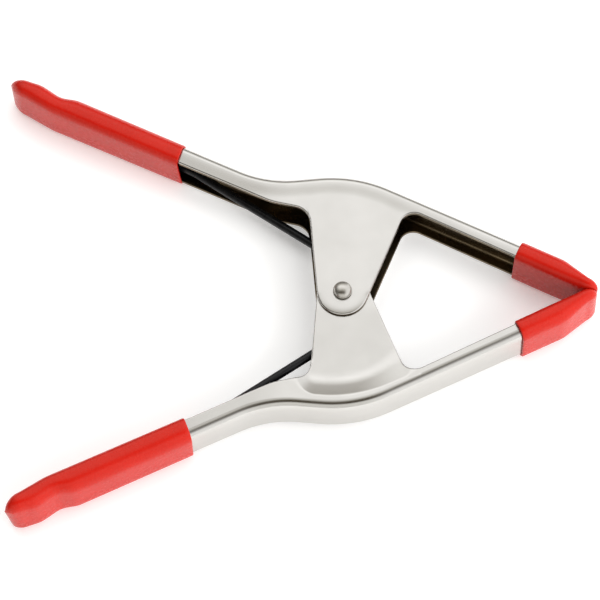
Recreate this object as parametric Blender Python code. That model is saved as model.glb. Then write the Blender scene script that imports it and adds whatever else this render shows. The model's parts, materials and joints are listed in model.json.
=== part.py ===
"""Hand-squeezed spring clamp, lying on its side.

Two pressed channel arms turn on one rivet.  A torsion spring around the rivet pushes the
handles apart, which holds the jaws shut.  Soft plastic sleeves cover both handles and both
jaws.  +Z is the rivet's axis, +X runs towards the jaws and +Y is the upper arm's side.
Lengths in the tables are millimetres measured from the rivet's axis.
"""
import math

import bmesh
import bpy
from mathutils import Vector

MM = 0.001

# Driving dimensions, in millimetres
PIVOT_X = 15.8             # rivet axis, ahead of the middle of the clamp's length
PIVOT_Y = 0.0
SHEET = 1.6                # steel thickness
HANDLE_HALF_WIDTH = 9.0    # half the channel's width under the handle grips
PIVOT_HALF_WIDTH = 9.2     # the same beside the rivet
JAW_HALF_WIDTH = 9.4       # and at the jaws
WIDTH_REACH = 55.0         # where the width stops changing, either side of the rivet
BEND_RADIUS = 2.8          # outside bend between web and flange
GAP = 0.3                  # clear space between separate pieces
SLEEVE_WALL = 0.9          # soft plastic over the steel
SLEEVE_MARGIN = GAP + SLEEVE_WALL
MID_Z = JAW_HALF_WIDTH + SLEEVE_MARGIN   # mid plane above the resting plane

JOGGLE = SHEET + GAP       # how far the inner ears step inwards
JOGGLE_FROM = 3.5          # the step starts this far below the web
JOGGLE_TO = 12.5           # and ends here
JOGGLE_BACK = -17.0        # handle end of the stepped panel
JOGGLE_FRONT = 25.0        # jaw end of the stepped panel
JOGGLE_FADE = 7.0          # length over which the step dies out beyond those ends

JOGGLE_WHOLE = 20.5        # below this the whole ear is stepped in, whatever its width
JOGGLE_BLEND = 4.0

EAR_RADIUS = 9.8           # round end of each ear, about the rivet
RIVET_SHANK = 2.5
RIVET_HOLE = 2.56          # running fit on the shank
RIVET_HEAD = 3.65          # radius of the round head
RIVET_DOME = 2.7           # and its height
RIVET_TAIL = 3.6
RIVET_TAIL_HEIGHT = 0.8
HEAD_CLEARANCE = 0.1       # between head or tail and the ear it bears on

BUSH_OUTER = 4.6
BUSH_BORE = 2.6

WIRE = 1.65                # spring wire radius
COIL_RADIUS = 7.5          # to the middle of the wire
COIL_TURNS = 2
COIL_PITCH = 3.55
LEG_SLOPE = math.radians(34.2)
LEG_BEND = 4.5             # bend radius where a leg turns towards its handle
UPPER_LEG_OFFSET = 14.7    # distance of a straight leg's line from the rivet's axis
LOWER_LEG_OFFSET = 13.4
LEG_TIP = -84.0            # a leg ends here, inside its grip
LEG_CREASE = 30.0          # bend radius where a leg meets the steel and runs along it

HANDLE_STEEL_END = -123.0
GROOVE_FROM = -99.0        # the finger groove starts here
UPPER_GRIP_MOUTH = -60.0
LOWER_GRIP_MOUTH = -57.8   # this grip is pushed on a little further
EAR_BACK = -19.5           # web places between these two belong to the ear
EAR_END_FROM = -8.0        # and between these two to its round end
EAR_END_TO = 10.0
EAR_FRONT = 31.5
LEAN_LENGTH = 16.0         # sections lean towards the ear over this length beside it
PAD_MOUTH = 69.0
NOSE_BEND = 83.0           # the jaw turns down towards its tip
JAW_STEEL_END = 93.4
NOSE_GRIP = 4.6            # solid plastic past the steel's end
NOSE_PAD = 5.0
NOSE_ANGLES = (0.45, 0.9, 1.3)   # rings that round a closed end, as angles from its middle
NOSE_TAPER = 0.8           # share of the nose's length that its width loses
SLEEVE_CORNERS = (3.4, 1.8)      # outside corner radii on the web side and the edge side
CAVITY_CORNERS = (2.4, 0.3)
CONTACT = GAP / 2          # the jaws' tips are pressed flat this far from the middle line

ROUND_STEPS = 24           # sides of round parts
WIRE_SIDES = 8
COIL_STEPS = 18            # sections in one turn of the coil
FLANGE_STEPS = 6           # faces across a flange
BEND_STEPS = 3             # faces round a bend
CUTTER_LENGTH = 60.0


def handle_line(x):
    """Height of the straight part of a handle's outer side."""
    return 61.3 - 0.472 * (x + 58.8)


def jaw_line(x):
    """Height of the straight part of a jaw's outer side."""
    return 41.5 - 0.4845 * (x - 23.4)


# Corner points (x, y) with the radius that rounds each one
WEB_OUTLINE = [
    (-124.6, 90.5, 0.0),
    (-115.8, 88.0, 10.0),
    (-108.2, 82.2, 9.0),
    (-101.9, handle_line(-101.9), 9.0),
    (-28.8, handle_line(-28.8), 42.0),
    (5.4, jaw_line(5.4), 51.0),
    (84.6, jaw_line(84.6), 9.0),
    (96.0, 1.6, 0.0),
]
HANDLE_EDGE = [
    (-128.5, 88.45, 0.0),
    (-112.5, 78.2, 30.0),
    (-27.0, 38.1, 25.0),
    (-17.6, 35.95, 0.0),
]
JAW_EDGE = [
    (30.0, 32.25, 0.0),
    (80.0, 7.3, 30.0),
    (94.5, 0.4, 0.0),
]
HANDLE_CORNER = (-12.75, 34.8, 7.0)
JAW_CORNER = (24.8, 34.8, 5.5)
EAR_LEFT_LEAN = math.radians(4.8)
EAR_RIGHT_LEAN = math.radians(22.1)


def rounded(points, arc_steps):
    """Polyline through corner points, each corner replaced by an arc of its radius."""
    path = []
    last = len(points) - 1
    for index, (x, y, radius) in enumerate(points):
        corner = Vector((x, y))
        if index in (0, last) or radius <= 0.0:
            path.append(corner)
            continue
        back = (Vector(points[index - 1][:2]) - corner).normalized()
        ahead = (Vector(points[index + 1][:2]) - corner).normalized()
        half = back.angle(ahead) / 2
        centre = corner + (back + ahead).normalized() * (radius / math.sin(half))
        reach = radius / math.tan(half)
        start = corner + back * reach - centre
        turn = start.angle_signed(corner + ahead * reach - centre)
        for step in range(arc_steps + 1):
            angle = -turn * step / arc_steps
            path.append(centre + rotated(start, angle))
    return path


def rotated(vector, angle):
    """The vector turned anticlockwise by an angle."""
    cosine = math.cos(angle)
    sine = math.sin(angle)
    return Vector((vector.x * cosine - vector.y * sine, vector.x * sine + vector.y * cosine))


def resample(path, count):
    """Points at equal distances along a polyline, both ends included."""
    lengths = [0.0]
    for a, b in zip(path, path[1:]):
        lengths.append(lengths[-1] + (b - a).length)
    result = []
    segment = 0
    for step in range(count + 1):
        target = lengths[-1] * step / count
        while segment < len(path) - 2 and lengths[segment + 1] < target:
            segment += 1
        span = lengths[segment + 1] - lengths[segment]
        share = (target - lengths[segment]) / span if span > 0.0 else 0.0
        result.append(path[segment].lerp(path[segment + 1], share))
    return result


def height_at(path, x):
    """Height and upward normal of a polyline that runs towards +X."""
    for a, b in zip(path, path[1:]):
        if x <= b.x:
            break
    point = a.lerp(b, (x - a.x) / (b.x - a.x))
    along = (b - a).normalized()
    return point, Vector((-along.y, along.x))


def smooth(value):
    """Smooth step from 0 to 1."""
    value = min(max(value, 0.0), 1.0)
    return value * value * (3.0 - 2.0 * value)


def half_width(x):
    """Half the channel's outside width at a place along the arm."""
    if x < 0.0:
        return PIVOT_HALF_WIDTH + (HANDLE_HALF_WIDTH - PIVOT_HALF_WIDTH) * smooth(-x / WIDTH_REACH)
    return PIVOT_HALF_WIDTH + (JAW_HALF_WIDTH - PIVOT_HALF_WIDTH) * smooth(x / WIDTH_REACH)


WEB_PATH = rounded(WEB_OUTLINE, 10)


def ear_paths():
    """The ear's outline in three runs: handle side, round end and jaw side."""
    left = Vector((-math.cos(EAR_LEFT_LEAN), -math.sin(EAR_LEFT_LEAN))) * EAR_RADIUS
    right = Vector((math.cos(EAR_RIGHT_LEAN), -math.sin(EAR_RIGHT_LEAN))) * EAR_RADIUS
    start = HANDLE_EDGE[-1]
    end = JAW_EDGE[0]
    handle_side = rounded([start, HANDLE_CORNER, (left.x, left.y, 0.0)], 6)
    jaw_side = rounded([(right.x, right.y, 0.0), JAW_CORNER, end], 7)
    sweep = math.pi - EAR_LEFT_LEAN - EAR_RIGHT_LEAN
    turns = spread(0.0, sweep, 12) + [sweep]
    round_end = [rotated(left, angle) for angle in turns]
    return handle_side, round_end, jaw_side


def edge_foot(path, web, normal):
    """Point of an edge path straight below a web point, across the sheet's width."""
    depth = BEND_RADIUS
    for _ in range(8):
        foot = height_at(path, web.x - normal.x * depth)[0]
        depth = (web.y - foot.y) / normal.y
    return foot


def straight_stations(places, path, join_x, join_edge):
    """Matched points beside an ear.  Near the ear the edge points lean towards it."""
    result = []
    for x in places:
        web, normal = height_at(WEB_PATH, x)
        foot = edge_foot(path, web, normal)
        share = smooth(abs(x - join_x) / LEAN_LENGTH)
        shifted = (join_edge.x + x - join_x) * (1.0 - share) + foot.x * share
        result.append((web, normal, height_at(path, shifted)[0]))
    return result


def spread(low, high, count):
    """Evenly spaced places from low up to, but not including, high."""
    return [low + (high - low) * step / count for step in range(count)]


def stations():
    """Matched points down the arm: web point, web normal and edge point."""
    handle_side, round_end, jaw_side = ear_paths()
    handle_edge = rounded(HANDLE_EDGE, 4)
    jaw_edge = rounded(JAW_EDGE, 4)
    places = spread(HANDLE_STEEL_END, GROOVE_FROM, 11) + spread(GROOVE_FROM, UPPER_GRIP_MOUTH, 3)
    places += [UPPER_GRIP_MOUTH] + spread(LOWER_GRIP_MOUTH, EAR_BACK, 8)
    result = straight_stations(places, handle_edge, EAR_BACK, handle_edge[-1])
    runs = [
        (EAR_BACK, EAR_END_FROM, handle_side, 11),
        (EAR_END_FROM, EAR_END_TO, round_end, 12),
        (EAR_END_TO, EAR_FRONT, jaw_side, 12),
    ]
    for low, high, edge, count in runs:
        edge_points = resample(edge, count)
        for x, edge_point in zip(spread(low, high, count), edge_points):
            point, normal = height_at(WEB_PATH, x)
            result.append((point, normal, edge_point))
    places = spread(EAR_FRONT, PAD_MOUTH, 6) + spread(PAD_MOUTH, NOSE_BEND, 3)
    places += spread(NOSE_BEND, JAW_STEEL_END, 5) + [JAW_STEEL_END]
    return result + straight_stations(places, jaw_edge, EAR_FRONT, jaw_edge[0])


def joggle_depth(point):
    """How far the flange steps inwards at a point of the inner arm's side."""
    web, normal = height_at(WEB_PATH, min(max(point.x, HANDLE_STEEL_END), JAW_STEEL_END))
    depth = (web - point).dot(normal)
    share = smooth((depth - JOGGLE_FROM) / (JOGGLE_TO - JOGGLE_FROM))
    fade = smooth((point.x - JOGGLE_BACK + JOGGLE_FADE) / JOGGLE_FADE)
    fade *= smooth((JOGGLE_FRONT + JOGGLE_FADE - point.x) / JOGGLE_FADE)
    fading = smooth((JOGGLE_WHOLE - depth) / JOGGLE_BLEND)
    return JOGGLE * share * (fade * fading + 1.0 - fading)


def section(station, stepped, inset):
    """One open U of points around the channel, moved inwards by inset."""
    web, normal, edge = station
    depth = (web - edge).length
    radius = min(BEND_RADIUS, depth * 0.6)
    inner = radius - inset
    wide = half_width(web.x)
    ring = []
    start = web - normal * radius
    for step in range(FLANGE_STEPS):
        point = edge.lerp(start, step / FLANGE_STEPS)
        z = half_width(point.x) - inset
        if stepped:
            z -= joggle_depth(point)
        ring.append((point.x, point.y, z))
    for step in range(BEND_STEPS + 1):
        angle = math.pi / 2 * step / BEND_STEPS
        offset = math.sin(angle) * inner
        point = start + normal * offset if angle > 0.0 else start
        ring.append((point.x, point.y, wide - radius + math.cos(angle) * inner))
    mirrored = [(x, y, -z) for x, y, z in reversed(ring)]
    return ring + mirrored


def new_object(name, verts, faces, material):
    """Object built from millimetre points about the rivet's axis at mid height."""
    mesh = bpy.data.meshes.new(name)
    place = [((x + PIVOT_X) * MM, (y + PIVOT_Y) * MM, (z + MID_Z) * MM) for x, y, z in verts]
    mesh.from_pydata(place, [], faces)
    shaped = bmesh.new()
    shaped.from_mesh(mesh)
    bmesh.ops.remove_doubles(shaped, verts=shaped.verts, dist=0.002 * MM)
    bmesh.ops.recalc_face_normals(shaped, faces=shaped.faces)
    shaped.to_mesh(mesh)
    shaped.free()
    mesh.materials.append(material)
    mesh.shade_smooth()
    mesh.set_sharp_from_angle(angle=math.radians(35.0))
    item = bpy.data.objects.new(name, mesh)
    bpy.context.scene.collection.objects.link(item)
    return item


def strips(first, second, count, closed):
    """Quads between two rows of points that start at the given indices."""
    faces = []
    for i in range(count if closed else count - 1):
        j = (i + 1) % count
        faces.append((first + i, first + j, second + j, second + i))
    return faces


def build_arm(name, side, stepped, material):
    """Pressed channel arm with its two ears.  side is +1 for the upper arm, -1 for the lower."""
    outer = [section(station, stepped, 0.0) for station in stations()]
    inner = [section(station, stepped, SHEET) for station in stations()]
    count = len(outer[0])
    rows = len(outer)
    verts = [point for ring in outer for point in ring]
    verts += [point for ring in inner for point in ring]
    faces = []
    shift = rows * count
    for row in range(rows - 1):
        faces += strips(row * count, (row + 1) * count, count, False)
        faces += strips(shift + row * count, shift + (row + 1) * count, count, False)
        for edge in (0, count - 1):
            a = row * count + edge
            faces.append((a, a + count, shift + a + count, shift + a))
    for row in (0, rows - 1):
        faces += strips(row * count, shift + row * count, count, False)
    verts = [(x, y * side, z) for x, y, z in verts]
    arm = new_object(name, verts, faces, material)
    cut_hole(arm, name + "_hole", RIVET_HOLE)
    return arm


def cut_hole(item, name, radius):
    """Round hole on the rivet's axis."""
    bpy.ops.mesh.primitive_cylinder_add(
        vertices=ROUND_STEPS,
        radius=radius * MM,
        depth=CUTTER_LENGTH * MM,
        location=(PIVOT_X * MM, PIVOT_Y * MM, MID_Z * MM),
    )
    cutter = bpy.context.object
    cutter.name = name
    cutter.hide_render = True
    cutter.display_type = "WIRE"
    cut = item.modifiers.new("rivet hole", "BOOLEAN")
    cut.operation = "DIFFERENCE"
    cut.solver = "EXACT"
    cut.object = cutter


def turned(name, profile, material):
    """Body of revolution about the rivet's axis from a closed (radius, z) profile."""
    verts = []
    faces = []
    count = len(profile)
    for step in range(ROUND_STEPS):
        angle = 2.0 * math.pi * step / ROUND_STEPS
        for radius, z in profile:
            verts.append((radius * math.cos(angle), radius * math.sin(angle), z))
    for step in range(ROUND_STEPS):
        following = (step + 1) % ROUND_STEPS
        faces += strips(step * count, following * count, count, True)
    return new_object(name, verts, faces, material)


def build_rivet(material):
    """Round-headed rivet, its tail spread flat under the far ear."""
    top = PIVOT_HALF_WIDTH + HEAD_CLEARANCE
    tail_end = -top - RIVET_TAIL_HEIGHT
    profile = [(0.0, tail_end), (RIVET_TAIL - RIVET_TAIL_HEIGHT, tail_end)]
    profile += [(RIVET_TAIL, -top - RIVET_TAIL_HEIGHT / 2), (RIVET_TAIL, -top)]
    profile += [(RIVET_SHANK, -top), (RIVET_SHANK, top), (RIVET_HEAD, top)]
    for angle in spread(0.0, math.pi / 2, 6)[1:]:
        profile.append((RIVET_HEAD * math.cos(angle), top + RIVET_DOME * math.sin(angle)))
    profile.append((0.0, top + RIVET_DOME))
    return turned_solid("pivot_rivet", profile, material)


def turned_solid(name, profile, material):
    """Solid of revolution whose profile runs from the axis round to the axis."""
    inner = profile[1:-1]
    count = len(inner)
    verts = []
    for step in range(ROUND_STEPS):
        angle = 2.0 * math.pi * step / ROUND_STEPS
        for radius, z in inner:
            verts.append((radius * math.cos(angle), radius * math.sin(angle), z))
    low_pole = len(verts)
    verts.append((0.0, 0.0, profile[0][1]))
    high_pole = len(verts)
    verts.append((0.0, 0.0, profile[-1][1]))
    faces = []
    for step in range(ROUND_STEPS):
        here = step * count
        there = (step + 1) % ROUND_STEPS * count
        faces += strips(here, there, count, False)
        faces.append((low_pole, here, there))
        faces.append((high_pole, here + count - 1, there + count - 1))
    return new_object(name, verts, faces, material)


def build_bush(material):
    """Plain spacer tube on the rivet, inside the coil."""
    half = PIVOT_HALF_WIDTH - JOGGLE - SHEET - GAP
    profile = [(BUSH_BORE, -half), (BUSH_OUTER, -half), (BUSH_OUTER, half), (BUSH_BORE, half)]
    return turned("spring_bush", profile, material)


def leg_path(side, z, offset):
    """Centre line of one spring leg: off the coil, round a bend and out along its handle."""
    along = Vector((-math.cos(LEG_SLOPE), math.sin(LEG_SLOPE)))
    foot = Vector((math.sin(LEG_SLOPE), math.cos(LEG_SLOPE))) * offset
    corner = foot + along * ((COIL_RADIUS - foot.x) / along.x)
    sunk = SHEET + WIRE + GAP
    web, normal = height_at(WEB_PATH, LEG_TIP)
    tip = web - normal * sunk
    touch = foot + along * ((tip - foot).dot(normal) / along.dot(normal))
    points = [
        (COIL_RADIUS, 0.0, 0.0),
        (corner.x, corner.y, LEG_BEND),
        (touch.x, touch.y, LEG_CREASE),
        (tip.x, tip.y, 0.0),
    ]
    return [Vector((point.x, point.y * side, z)) for point in rounded(points, 4)]


def build_spring(material):
    """Torsion spring: a coil about the rivet and one leg into each handle."""
    rise = COIL_TURNS * COIL_PITCH
    coil = []
    for turn in spread(0.0, COIL_TURNS, COIL_TURNS * COIL_STEPS)[1:]:
        angle = 2.0 * math.pi * turn
        z = rise / 2 - COIL_PITCH * turn
        coil.append(Vector((COIL_RADIUS * math.cos(angle), COIL_RADIUS * math.sin(angle), z)))
    path = list(reversed(leg_path(-1, rise / 2, LOWER_LEG_OFFSET))) + coil
    path += leg_path(1, -rise / 2, UPPER_LEG_OFFSET)
    return tube("torsion_spring", path, WIRE, WIRE_SIDES, material)


def tube(name, path, radius, sides, material):
    """Round bar along a path, closed with flat ends."""
    verts = []
    faces = []
    tangent = (path[1] - path[0]).normalized()
    across = tangent.orthogonal().normalized()
    for index, point in enumerate(path):
        before = path[max(index - 1, 0)]
        after = path[min(index + 1, len(path) - 1)]
        tangent = (after - before).normalized()
        across = (across - tangent * across.dot(tangent)).normalized()
        other = tangent.cross(across)
        for side in range(sides):
            angle = 2.0 * math.pi * side / sides
            spot = point + (across * math.cos(angle) + other * math.sin(angle)) * radius
            verts.append(tuple(spot))
    for index in range(len(path) - 1):
        faces += strips(index * sides, (index + 1) * sides, sides, True)
    faces.append(tuple(range(sides)))
    faces.append(tuple(range((len(path) - 1) * sides, len(path) * sides)))
    return new_object(name, verts, faces, material)


def sleeve_ring(top, bottom, wide, radii):
    """Rectangle between two points of the side view, its web and edge corners rounded."""
    middle = (top + bottom) / 2
    up = (top - bottom).normalized()
    tall = (top - bottom).length / 2
    ring = []
    for quarter, (sign_z, sign_up) in enumerate(((1, 1), (-1, 1), (-1, -1), (1, -1))):
        radius = min(radii[0] if sign_up > 0 else radii[1], tall * 0.95, wide * 0.95)
        for step in range(BEND_STEPS + 1):
            angle = math.pi / 2 * (quarter + step / BEND_STEPS)
            z = sign_z * (wide - radius) + radius * math.cos(angle)
            rise = sign_up * (tall - radius) + radius * math.sin(angle)
            spot = middle + up * rise
            ring.append((spot.x, spot.y, z))
    return ring


def sleeve_rows(covered, margin, wide, radii, nose):
    """Rings of one sleeve surface from its mouth to its closed end."""
    rows = []
    for web, normal, edge in covered:
        down = (edge - web).normalized()
        rows.append(sleeve_ring(web - down * margin, edge + down * margin, wide, radii))
    if nose > 0.0:
        out = Vector((down.y, -down.x))
        if out.x * web.x < 0.0:
            out = -out
        middle = (web + edge) / 2
        tall = (web - edge).length / 2 + margin
        for angle in NOSE_ANGLES:
            centre = middle + out * nose * math.sin(angle)
            half = -down * tall * math.cos(angle)
            shrink = nose * NOSE_TAPER * (1.0 - math.cos(angle))
            rows.append(sleeve_ring(centre + half, centre - half, wide - shrink, radii))
    return rows


def build_sleeve(name, side, covered, wide, nose, material):
    """Soft sleeve with a closed, rounded end, hollow where the steel sits."""
    outer = sleeve_rows(covered, SLEEVE_MARGIN, wide + SLEEVE_MARGIN, SLEEVE_CORNERS, nose)
    outer = [[(x, max(y, CONTACT), z) for x, y, z in ring] for ring in outer]
    web, normal, edge = covered[-1]
    out = Vector((normal.y, -normal.x)) * math.copysign(GAP, web.x)
    beyond = covered + [(web + out, normal, edge + out)]
    inner = sleeve_rows(beyond, GAP, wide + GAP, CAVITY_CORNERS, 0.0)
    rings = list(reversed(outer)) + inner
    count_round = len(rings[0])
    verts = [point for ring in rings for point in ring]
    faces = []
    for row in range(len(rings) - 1):
        faces += strips(row * count_round, (row + 1) * count_round, count_round, True)
    faces.append(tuple(range(count_round)))
    faces.append(tuple(range((len(rings) - 1) * count_round, len(rings) * count_round)))
    verts = [(x, y * side, z) for x, y, z in verts]
    return new_object(name, verts, faces, material)


def make_material(name, colour, metallic, roughness):
    """Plain surface for one kind of part."""
    material = bpy.data.materials.new(name)
    material.use_nodes = True
    shader = material.node_tree.nodes["Principled BSDF"]
    shader.inputs["Base Color"].default_value = (*colour, 1.0)
    shader.inputs["Metallic"].default_value = metallic
    shader.inputs["Roughness"].default_value = roughness
    material.diffuse_color = (*colour, 1.0)
    return material


def main():
    for item in list(bpy.data.objects):
        bpy.data.objects.remove(item, do_unlink=True)
    plated = make_material("nickel_plate", (0.78, 0.77, 0.74), 1.0, 0.28)
    black_steel = make_material("black_spring_steel", (0.03, 0.03, 0.035), 0.8, 0.35)
    red_plastic = make_material("red_soft_plastic", (0.72, 0.04, 0.03), 0.0, 0.35)

    build_arm("upper_arm", 1, False, plated)
    build_arm("lower_arm", -1, True, plated)
    build_rivet(plated)
    build_bush(plated)
    build_spring(black_steel)
    line = stations()
    on_jaw = [station for station in line if station[0].x >= PAD_MOUTH - 0.01]
    for word, side, mouth in (("upper", 1, UPPER_GRIP_MOUTH), ("lower", -1, LOWER_GRIP_MOUTH)):
        on_handle = [station for station in reversed(line) if station[0].x <= mouth + 0.01]
        build_sleeve(word + "_handle_grip", side, on_handle, HANDLE_HALF_WIDTH, NOSE_GRIP,
                     red_plastic)
        build_sleeve(word + "_jaw_pad", side, on_jaw, JAW_HALF_WIDTH, NOSE_PAD, red_plastic)


main()
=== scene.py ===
"""Looks of the spring clamp: finer meshes for every piece, their materials and a small studio.

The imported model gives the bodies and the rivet's place.  Lengths below are millimetres, and
places are measured from the rivet's axis at mid height, as in the part's source, whose outlines
are repeated here: x runs from the handles to the jaws, y towards the upper arm and z along the
rivet towards its round head.  Both arms are built as the upper one, and the lower one is mirrored.
"""
import json
import math

import bmesh
import bpy
from mathutils import Matrix, Vector


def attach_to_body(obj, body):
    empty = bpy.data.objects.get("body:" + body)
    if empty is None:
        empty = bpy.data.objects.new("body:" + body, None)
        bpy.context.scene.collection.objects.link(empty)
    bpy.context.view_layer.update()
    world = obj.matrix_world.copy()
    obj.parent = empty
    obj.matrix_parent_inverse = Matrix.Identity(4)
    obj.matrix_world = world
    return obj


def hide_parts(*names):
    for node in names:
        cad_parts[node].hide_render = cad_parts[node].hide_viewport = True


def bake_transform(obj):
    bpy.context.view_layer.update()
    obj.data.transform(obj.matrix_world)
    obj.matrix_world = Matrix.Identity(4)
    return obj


MM = 0.001
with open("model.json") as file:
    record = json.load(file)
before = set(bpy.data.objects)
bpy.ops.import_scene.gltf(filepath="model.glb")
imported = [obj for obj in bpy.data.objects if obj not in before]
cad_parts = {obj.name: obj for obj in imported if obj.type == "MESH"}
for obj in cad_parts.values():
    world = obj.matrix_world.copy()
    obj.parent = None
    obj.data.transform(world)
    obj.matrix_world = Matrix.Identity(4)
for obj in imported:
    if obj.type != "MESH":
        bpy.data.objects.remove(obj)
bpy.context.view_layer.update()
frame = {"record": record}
PIVOT = Vector(frame["record"]["behaviour"]["joints"][0]["pos_m"])

# Pressed arms: a web along the outer side and two flanges, which widen into ears
SHEET = 1.6
GAP = 0.3                  # running clearance between neighbours
HANDLE_HALF_WIDTH = 9.0
PIVOT_HALF_WIDTH = 9.2
JAW_HALF_WIDTH = 9.4
WIDTH_REACH = 55.0         # the channel changes width over this length from the rivet
BEND_RADIUS = 2.8
INNER_BEND_RADIUS = 3.3    # the inner arm's bend is softer
NARROW_BEND = 0.6          # largest bend radius, as a share of a narrow flange's width
EDGE_ROLL = 0.55           # rounding of the sheet's cut edge on the outside
EDGE_BREAK = 0.2           # and on the inside
HANDLE_STEEL_END = -123.0
JAW_STEEL_END = 93.4

# Places along an arm where its ears begin and end, and where an ear's round end lies
EAR_BACK = -19.5
EAR_END_FROM = -8.0
EAR_END_TO = 10.0
EAR_FRONT = 31.5
EAR_RADIUS = 9.8
LEAN_LENGTH = 16.0         # beside an ear the edge points lean towards it over this length

# Step that brings the inner arm's ears between the outer arm's ears
JOGGLE = SHEET + GAP
JOGGLE_FROM = 4.8          # it starts this far from the web
JOGGLE_WIDTH = 10.4
JOGGLE_TOP = 0.07          # share of its width that rounds its upper edge
JOGGLE_FOOT = 0.5          # and its long soft foot
JOGGLE_BACK = -10.5        # it is at its full depth between these places along the arm
JOGGLE_FRONT = 23.0
JOGGLE_FADE = 8.5          # and fades out over this length beyond them
JOGGLE_SOFT = 4.0          # from here towards the jaws it changes gradually:
JOGGLE_SPREAD = 5.0        # it widens by this much
JOGGLE_ADVANCE = 1.0       # and starts this much nearer to the web
JOGGLE_WHOLE = 20.5        # further from the web than this, the whole flange is stepped
JOGGLE_BLEND = 4.0         # which begins this much nearer to the web

# Small shapes of the flanges
EAR_TILT = 0.024           # slope of the inner ears away from the rivet
EAR_FLAT = 7.0             # which are flat this close to it
EAR_LIP = 0.28             # how much an outer ear's round end rolls over
EAR_LIP_WIDTH = 2.8
EAR_LIP_REACH = 1.1        # end of the roll, in widths, just past the ear's edge
DISH = 0.3                 # sink of the outer arm's flange beside its web
DISH_WIDTH = 5.5
FLANGE_LEAN = 0.06         # slope across a handle's flange
FLANGE_FADE = 18.0         # behind the ears, over this length

# Rivet, spacer and spring
RIVET_SHANK = 2.5
RIVET_HOLE = 2.56
RIVET_HEAD = 3.65
RIVET_DOME = 2.7
RIVET_HEAD_EDGE = 0.15     # rounding under the head's rim
RIVET_TAIL = 3.6
RIVET_TAIL_HEIGHT = 0.8
RIVET_TAIL_EDGE = 0.25
HEAD_ARC = (-90, 0, 4)     # degrees from, degrees to and steps of these two roundings
TAIL_ARC = (-80, 80, 6)
RIVET_DIMPLE = [(0.0, 0.45), (0.9, 0.5), (1.6, 0.9), (2.1, 1.0)]  # radius, share of the height
HEAD_CLEARANCE = 0.05
BUSH_OUTER = 4.6
BUSH_BORE = 2.6
BUSH_CHAMFER = 0.3
WIRE = 1.65                # radius of the spring's wire
WIRE_END = [(0.4, 0.85), (0.5, 0.6)]  # distance past the wire's end, share of its radius
COIL_RADIUS = 7.5
COIL_TURNS = 2
COIL_PITCH = 3.55
LEG_SLOPE = math.radians(34.2)
LEG_BEND = 4.5             # radius of the bend where a leg leaves the coil
UPPER_LEG_OFFSET = 14.7    # distance from the rivet's axis to a leg's line
LOWER_LEG_OFFSET = 13.4
LEG_TIP = -84.0
LEG_CREASE = 30.0          # radius of the bend where a leg meets the web

# Dipped sleeves
UPPER_GRIP_MOUTH = -60.0
LOWER_GRIP_MOUTH = -57.8
PAD_MOUTH = 69.0
GRIP_SHOULDER = -120.6     # where a grip starts to round off
SLEEVE_WALL = 0.9
SLEEVE_MARGIN = GAP + SLEEVE_WALL
CAVITY_GAP = 0.12          # the soft sleeve hugs the steel closer than its plain solid does
CONTACT = GAP / 2          # half the gap between the two pads' gripping faces
SLEEVE_CORNERS = (5.3, 2.8)  # radii of the corners beside the web and beside the open edge
CAVITY_CORNERS = (2.6, 0.3)
CORNER_LIMIT = 0.95        # largest corner radius, as a share of half the sleeve's size
SIDE_CROWN = 0.085         # bulge of a sleeve's near side, as a share of its width
WEB_CROWN = 0.03           # and of the side over the web, as a share of its height
NOSE_TAPER = 0.8           # how much narrower a nose gets, as a share of its length
NOSE_TURN = 1.5            # angle in radians at which a nose's curve ends in a flat cap
# Each sleeve's own form: where its bulge is greatest, from -1 at the edges to 1 at the web,
# how far its near side is shifted along x at the mouth and at the nose, how far its web side
# is shifted, and the length of its nose
SLEEVE_FORMS = {
    "grip_upper": {"crest": 0.35, "lean": (-0.9, -0.35), "slant": 0.35, "nose": 6.5},
    "grip_lower": {"crest": -1.0, "lean": (-0.3, -1.2), "slant": 0.35, "nose": 6.2},
    "pad_upper": {"crest": 0.35, "lean": (0.5, 0.5), "slant": 0.0, "nose": 5.0},
    "pad_lower": {"crest": -1.0, "lean": (0.15, 0.15), "slant": 0.0, "nose": 5.0},
}

# Finer divisions than the plain solids have
STATION_STEP = 1.3         # distance between stations along the straight runs
OUTLINE_STEPS = 40         # steps of each rounded corner of the web's line
EDGE_LINE_STEPS = 24
EAR_CORNER_STEPS = 20
EAR_END_STEPS = 48
EAR_STATIONS = (40, 44, 42)  # along an ear's handle side, round end and jaw side
FLANGE_STEPS = 60
FLANGE_CROWD = (0.6, 0.8)  # this share of a flange's rows covers this share of its width
BEND_STEPS = 9
WEB_STEPS = 4
EDGE_STEPS = 4
SIDE_STEPS = 4             # along each side of a sleeve, between its corners
NOSE_STEPS = 14
ROUND_STEPS = 72
DOME_STEPS = 20
COIL_STEPS = 64            # for each turn
LEG_STEPS = 70
LEG_BEND_STEPS = 24
WIRE_SIDES = 20
MOUTH_ANGLES = (30, 60, 90, 120, 150)  # round the edge of a sleeve's mouth
MERGE_DISTANCE = 0.001
CUTTER_LENGTH = 4.0 * PIVOT_HALF_WIDTH  # of the cylinder that cuts the rivet's holes
NORMAL_WEIGHT = 60         # how strongly large faces rule the shading at an arm's corners
FOOT_ROUNDS = 8            # rounds of the search for the edge point opposite a web point

# Edges that turn by more than these angles, in degrees, are shaded as creases
ARM_CREASE = 60.0
SLEEVE_CREASE = 60.0
RIVET_CREASE = 50.0
WIRE_CREASE = 50.0
BUSH_CREASE = 30.0


def handle_line(x):
    """Height of the straight part of a handle's outer side."""
    return 61.3 - 0.472 * (x + 58.8)


def jaw_line(x):
    """Height of the straight part of a jaw's outer side."""
    return 41.5 - 0.4845 * (x - 23.4)


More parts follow.
